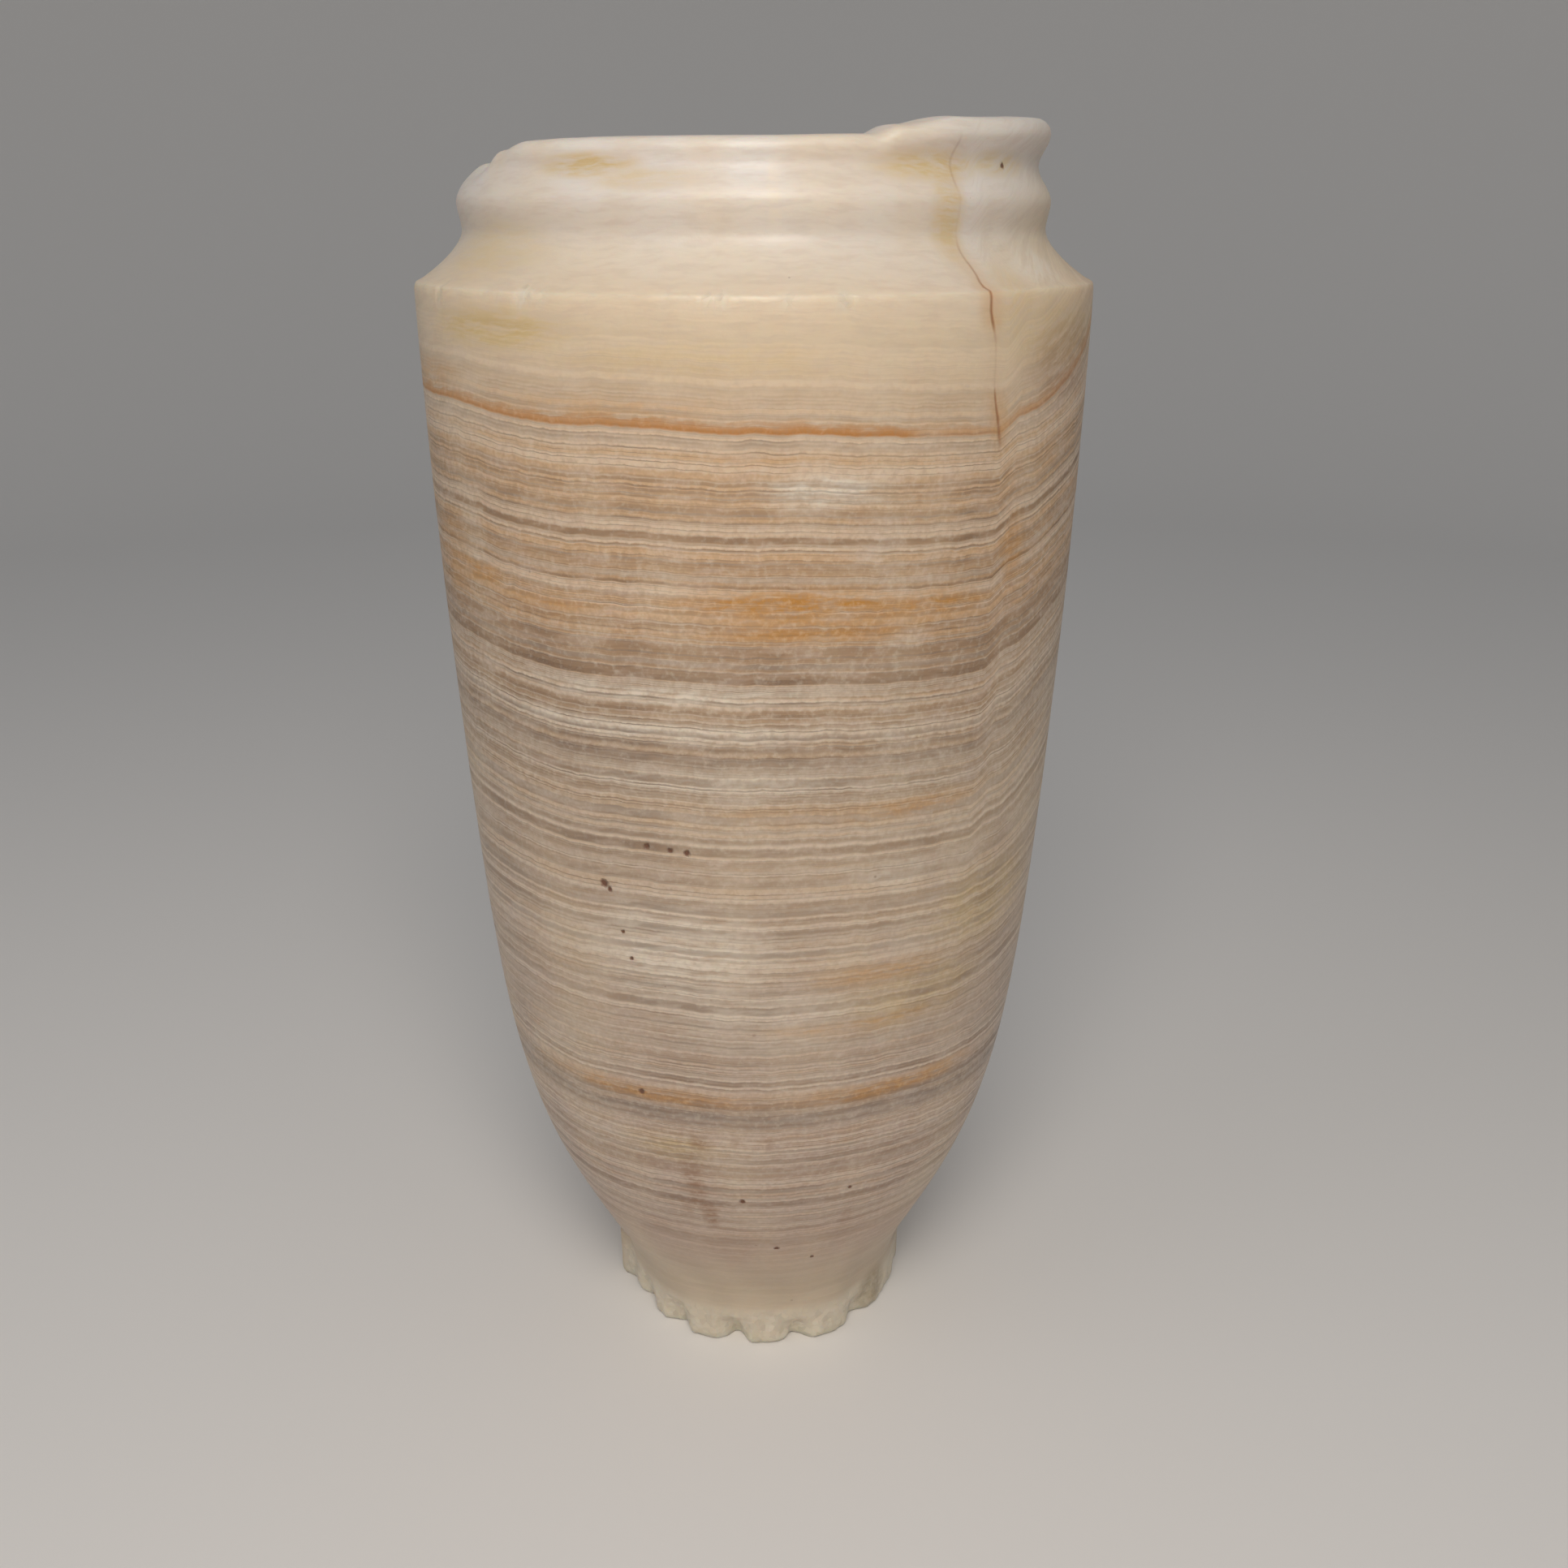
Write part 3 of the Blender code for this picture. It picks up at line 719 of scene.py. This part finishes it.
    # The crack is a brown hair up to 0.5 mm wide with an ochre halo 5 mm wide that fades outwards
    off_crack = add(tree, "Math", {0: ripple, 1: 1.2, 2: mark["crack"]}, operation="MULTIPLY_ADD")
    off_crack = add(tree, "Math", {0: off_crack}, operation="ABSOLUTE")
    crack = add(tree, "MapRange", {"Value": off_crack, "From Min": 0.28, "From Max": 0.0})
    crack = add(tree, "Math", {0: crack, 1: mark["crack_depth"]}, operation="MULTIPLY")
    halo = add(tree, "MapRange", {"Value": off_crack, "From Min": 2.4, "From Max": 0.0, "To Max": 0.5},
               interpolation_type="SMOOTHSTEP")

    holes = pit_holes(tree, place, grain_colour)
    pits = add(tree, "Math", {0: holes, 1: dark_specks(tree, place)}, operation="MAXIMUM")

    # Broken stone is paler and sugary, with crystal faces 0.8 mm across; on the foot's low set-back band
    # the paleness is also a painted pool of light
    crystals = add(tree, "TexVoronoi", {"Vector": place, "Scale": 1 / 0.8}, out="Color")
    facets = add(tree, "SeparateColor", {"Color": crystals})
    sugar = add(tree, "Math", {0: facets, 1: mark["fresh_and_lit"]}, operation="MULTIPLY")

    # Every tint over the stone, in order, with the masks and amounts that are multiplied to lay it on
    for tint, covering, *factors in (
        ("#dccab0", mask["cloudy"]),
        ("#c2ad9c", veil),
        ("#b08f6c", mask["broad"], strength),
        ("#c9a57c", mask["tan"], strength),
        ("#cdbcb0", mask["pink"], strength),
        ("#e4d6c4", light_lines, strength, dashes),
        ("#938980", grey_zones, patchy),
        ("#e6dac8", mark["pale"], patchy),
        ("#d0b478", mark["yellow"], patchy, 0.95),
        ("#5f4636", lines),
        # Orange iron stains, with a painted warm glow of light through the stone by the left side
        ("#c08734", mark["iron_and_glow"], patchy, mask["ragged"]),
        ("#b97a2e", seam_low, seam_high, mark["seam"], mask["beads"]),
        ("#c8985a", halo, mark["crack_depth"]),
        ("#93694a", mark["rust"], patchy),
        ("#965c2e", crack),
        ("#95785c", dark_grain),
        ("#eadcc8", mask["light_grain"], strength),
        # Pale broken stone, which on the foot's low set-back band is also a painted pool of light
        ("#ebe3d2", mark["fresh_and_lit"], 0.8),
        ("#c4a878", mark["fresh_and_lit"], patchy, 0.2),
        ("#b8ad9a", sugar, 0.55),
        # Olive-brown soil, which low on the foot is also painted shade
        ("#7d6a48", mark["soil_and_shade"], mask["ragged"]),
        ("#74503c", pits),
    ):
        for factor in factors:
            covering = add(tree, "Math", {0: covering, 1: factor}, operation="MULTIPLY")
        colour = add(tree, "Mix", {0: covering, 6: colour, 7: linear(tint)}, out=2, data_type="RGBA")
    tree.links.new(colour, shader.inputs["Base Color"])

    # Old polish: satin, duller along the lines and dull on breaks and soil, also where these marks carry
    # painted light and painted shade low on the foot
    satin = mask["satin"]
    for dulled, amount in (
        (lines, 0.15), (dark_grain, 0.4), (mark["fresh_and_lit"], 0.2), (mark["soil_and_shade"], 0.3), (pits, 0.3),
    ):
        satin = add(tree, "Math", {0: dulled, 1: amount, 2: satin}, operation="MULTIPLY_ADD")
    tree.links.new(satin, shader.inputs["Roughness"])

    # Relief in millimetres: the grains stand out a little, pits and the crack go in, breaks are faceted
    relief = 0.0
    for raised, depth in ((grain, 0.03), (crack, -0.06), (holes, -0.22), (sugar, 0.12)):
        relief = add(tree, "Math", {0: raised, 1: depth, 2: relief}, operation="MULTIPLY_ADD")
    bump = add(tree, "Bump", {"Strength": 1.0, "Distance": MM, "Height": relief})
    tree.links.new(bump, shader.inputs["Normal"])

    # Calcite: IOR about 1.56 across its crystals; light sinks in a few millimetres and comes out warmer
    shader.inputs["IOR"].default_value = 1.56
    shader.inputs["Subsurface Weight"].default_value = 0.45
    shader.inputs["Subsurface Radius"].default_value = (1.0, 0.55, 0.3)
    shader.inputs["Subsurface Scale"].default_value = 4.5 * MM
    return material


def matt_card():
    """Pale matt painted card for the studio."""
    material = bpy.data.materials.new("matt_pale_card")
    material.use_nodes = True
    shader = material.node_tree.nodes["Principled BSDF"]
    shader.inputs["Base Color"].default_value = linear("#eceae7")
    shader.inputs["Roughness"].default_value = 0.85
    return material


def studio_sweep():
    """A pale round floor that curves up all round, so no edge shows from any side; in metres."""
    flat_radius, bend, bend_steps, columns = 0.6, 0.35, 12, 96
    line = [(0.05, 0.0), (0.2, 0.0), (flat_radius, 0.0)]
    for i in range(1, bend_steps + 1):
        turn = i / bend_steps * math.pi / 2
        line.append((flat_radius + bend * math.sin(turn), bend * (1 - math.cos(turn))))
    turns = [2 * math.pi * i / columns for i in range(columns)]
    points = [(r * math.cos(turn), r * math.sin(turn), z) for r, z in line for turn in turns]
    faces = [tuple(range(columns))]
    for ring in range(len(line) - 1):
        for i in range(columns):
            j = (i + 1) % columns
            inner, outer = ring * columns, (ring + 1) * columns
            faces.append((inner + j, inner + i, outer + i, outer + j))
    mesh = bpy.data.meshes.new("studio_sweep")
    mesh.from_pydata(points, [], faces)
    mesh.shade_smooth()
    mesh.materials.append(matt_card())
    sweep = bpy.data.objects.new("studio_sweep", mesh)
    bpy.context.scene.collection.objects.link(sweep)


def soft_lamp(name, at, aimed_at, size, watts, colour):
    """A square softbox turned towards a point; places and size in metres."""
    light = bpy.data.lights.new(name, "AREA")
    light.size = size
    light.energy = watts
    light.color = linear(colour)[:3]
    lamp = bpy.data.objects.new(name, light)
    lamp.location = at
    lamp.rotation_euler = (Vector(aimed_at) - Vector(at)).to_track_quat("-Z", "Y").to_euler()
    bpy.context.scene.collection.objects.link(lamp)


def studio():
    """Soft light from above and in front, as the photograph has it, with a pale room round it."""
    studio_sweep()
    soft_lamp("key_softbox", (0.0, -0.33, 0.36), (0, 0, 0.1), 0.2, 1.14, "#fff8f0")
    soft_lamp("side_softbox", (-0.5, -0.25, 0.35), (0, 0, 0.07), 0.35, 0.2, "#f4f6ff")
    world = bpy.data.worlds.new("pale_room")
    world.use_nodes = True
    background = world.node_tree.nodes["Background"]
    background.inputs["Color"].default_value = linear("#eceef2")
    background.inputs["Strength"].default_value = 0.26
    bpy.context.scene.world = world
    bpy.context.scene.view_settings.view_transform = "Standard"


def camera():
    """The photograph's view: 0.2 m off, just below the lip's level and tilted down 19.5 degrees."""
    data = bpy.data.cameras.new("camera")
    data.sensor_width = 36
    data.lens = 37.27
    data.clip_start = 0.005
    made = bpy.data.objects.new("camera", data)
    made.location = (0.00334, -0.19445, 0.14085)
    made.rotation_euler = (math.radians(90 - 19.494), 0, 0)
    bpy.context.scene.collection.objects.link(made)
    bpy.context.scene.camera = made


jar = turned_jar()
jar.data.materials.append(banded_calcite())
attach(jar, "root")
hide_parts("jar")
studio()
camera()
